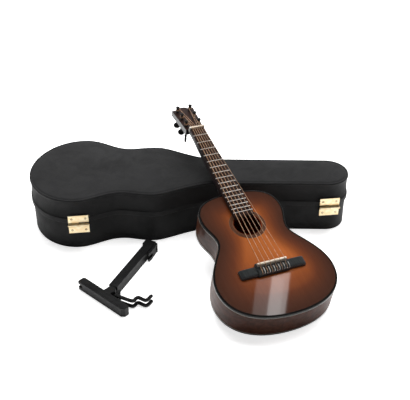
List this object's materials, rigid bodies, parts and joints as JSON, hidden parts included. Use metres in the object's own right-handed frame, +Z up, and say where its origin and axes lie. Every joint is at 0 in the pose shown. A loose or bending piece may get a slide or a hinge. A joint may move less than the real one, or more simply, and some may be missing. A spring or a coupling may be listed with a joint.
{
  "type": "miniature acoustic guitar with hard case and folding stand",
  "caption": "Small sunburst acoustic guitar leaning on its closed black hard case with gold hinges, beside its folding stand laid on its side.",
  "frame": {"origin": "centre of the case's flat underside, on the surface that the set stands on", "axes": "+X along the case towards its neck end, +Z up, -Y towards the hinges and the guitar's body"},
  "size_m": [0.2762, 0.2252, 0.0815],
  "materials": {
    "leatherette": "black grained leatherette over board, satin",
    "handle_cover": "black leatherette grip, satin",
    "plush": "short dark red plush",
    "brass_fittings": "bright pale gold plate",
    "sunburst_top": "sunburst lacquer, high gloss",
    "sides_and_back": "dark red-brown lacquer, high gloss",
    "binding": "black, glossy",
    "rosette_inlay": "pale and dark rings, glossy",
    "inner_wood": "raw spruce",
    "neck_wood": "dark brown lacquer, glossy",
    "fingerboard_wood": "rosewood brown, satin, with metal frets",
    "bone": "ivory, satin",
    "bridge_black": "black, satin",
    "peg_wood": "black stained, satin",
    "string_metal": "thin pale copper wire",
    "stand_plastic": "black moulded, matt"
  },
  "bodies": {
    "case_base": {"case_base_shell": "leatherette", "base_lining": "plush", "neck_cradle": "plush", "hinge_left_base_leaf": "brass_fittings", "hinge_right_base_leaf": "brass_fittings", "hinge_left_pin": "brass_fittings", "hinge_right_pin": "brass_fittings", "clasp_left_keeper": "brass_fittings", "clasp_right_keeper": "brass_fittings", "handle_left_post": "brass_fittings", "handle_right_post": "brass_fittings"},
    "case_lid": {"case_lid_shell": "leatherette", "lid_lining": "plush", "hinge_left_lid_leaf": "brass_fittings", "hinge_right_lid_leaf": "brass_fittings", "clasp_left_lid_plate": "brass_fittings", "clasp_right_lid_plate": "brass_fittings"},
    "clasp_left": {"clasp_left_flap": "brass_fittings"},
    "clasp_right": {"clasp_right_flap": "brass_fittings"},
    "handle": {"carrying_handle": "handle_cover"},
    "guitar": {"soundboard": "sunburst_top", "rosette": "rosette_inlay", "back_plate": "sides_and_back", "top_binding": "binding", "back_binding": "binding", "rim": "sides_and_back", "neck_block": "inner_wood", "tail_block": "inner_wood", "upper_top_brace": "inner_wood", "lower_top_brace": "inner_wood", "upper_back_brace": "inner_wood", "lower_back_brace": "inner_wood", "neck": "neck_wood", "fingerboard": "fingerboard_wood", "nut": "bone", "headstock": "neck_wood", "bridge": "bridge_black", "saddle": "bone", "string_1": "string_metal", "string_2": "string_metal", "string_3": "string_metal", "string_4": "string_metal", "string_5": "string_metal", "string_6": "string_metal"},
    "stand_base": {"stand_base": "stand_plastic", "stand_pivot_pin": "stand_plastic"},
    "stand_spine": {"stand_spine": "stand_plastic", "cradle_pin": "stand_plastic", "neck_rest_pin": "stand_plastic"},
    "cradle": {"lower_cradle_arm": "stand_plastic", "upper_cradle_arm": "stand_plastic"},
    "neck_rest": {"neck_rest": "stand_plastic"},
    "peg_1": {"tuning_peg_1": "peg_wood"},
    "peg_2": {"tuning_peg_2": "peg_wood"},
    "peg_3": {"tuning_peg_3": "peg_wood"},
    "peg_4": {"tuning_peg_4": "peg_wood"},
    "peg_5": {"tuning_peg_5": "peg_wood"},
    "peg_6": {"tuning_peg_6": "peg_wood"}
  },
  "joints": [
    {"name": "guitar_lift", "type": "slide", "parent": "case_base", "child": "guitar", "axis": [0, 0, 1], "range_m": [0, 0.26]},
    {"name": "lid_hinge", "type": "hinge", "parent": "case_base", "child": "case_lid", "pos_m": [-0.0897, -0.05259, 0.026], "axis": [0.99, 0.1412, 0], "range_deg": [0, 100]},
    {"name": "clasp_left_swing", "type": "hinge", "parent": "case_lid", "child": "clasp_left", "pos_m": [-0.0955, 0.05253, 0.034], "axis": [1, 0, 0], "range_deg": [0, 120]},
    {"name": "clasp_right_swing", "type": "hinge", "parent": "case_lid", "child": "clasp_right", "pos_m": [0.0895, 0.0222, 0.034], "axis": [1, 0, 0], "range_deg": [0, 120]},
    {"name": "handle_swing", "type": "hinge", "parent": "case_base", "child": "handle", "pos_m": [-0.05416, 0.04335, 0.02], "axis": [0.9967, -0.0816, 0], "range_deg": [0, 150]},
    {"name": "peg_1_turn", "type": "hinge", "parent": "guitar", "child": "peg_1", "pos_m": [-0.00337, 0.0347, 0.07294], "axis": [0.0652, -0.1178, 0.9909], "continuous": true},
    {"name": "peg_2_turn", "type": "hinge", "parent": "guitar", "child": "peg_2", "pos_m": [0.00747, 0.03935, 0.07278], "axis": [0.0652, -0.1178, 0.9909], "continuous": true},
    {"name": "peg_3_turn", "type": "hinge", "parent": "guitar", "child": "peg_3", "pos_m": [-0.00765, 0.04472, 0.07441], "axis": [0.0652, -0.1178, 0.9909], "continuous": true},
    {"name": "peg_4_turn", "type": "hinge", "parent": "guitar", "child": "peg_4", "pos_m": [0.00319, 0.04938, 0.07425], "axis": [0.0652, -0.1178, 0.9909], "continuous": true},
    {"name": "peg_5_turn", "type": "hinge", "parent": "guitar", "child": "peg_5", "pos_m": [-0.01193, 0.05475, 0.07589], "axis": [0.0652, -0.1178, 0.9909], "continuous": true},
    {"name": "peg_6_turn", "type": "hinge", "parent": "guitar", "child": "peg_6", "pos_m": [-0.00109, 0.0594, 0.07573], "axis": [0.0652, -0.1178, 0.9909], "continuous": true},
    {"name": "stand_pick_up", "type": "slide", "parent": "case_base", "child": "stand_base", "axis": [0, 0, 1], "range_m": [0, 0.2]},
    {"name": "stand_fold", "type": "hinge", "parent": "stand_base", "child": "stand_spine", "pos_m": [-0.05706, -0.11207, 0.00415], "axis": [0, 0, 1], "range_deg": [0, 63]},
    {"name": "cradle_fold", "type": "hinge", "parent": "stand_spine", "child": "cradle", "pos_m": [-0.05111, -0.11493, 0.00415], "axis": [0, 0, 1], "range_deg": [0, 70]},
    {"name": "neck_rest_fold", "type": "hinge", "parent": "stand_spine", "child": "neck_rest", "pos_m": [-0.02603, -0.05299, 0.00415], "axis": [0, 0, 1], "range_deg": [0, 95]}
  ],
  "couplings": [
    {"joint": "lid_hinge", "follows": "guitar_lift", "rad_per_m": 6.71}
  ]
}
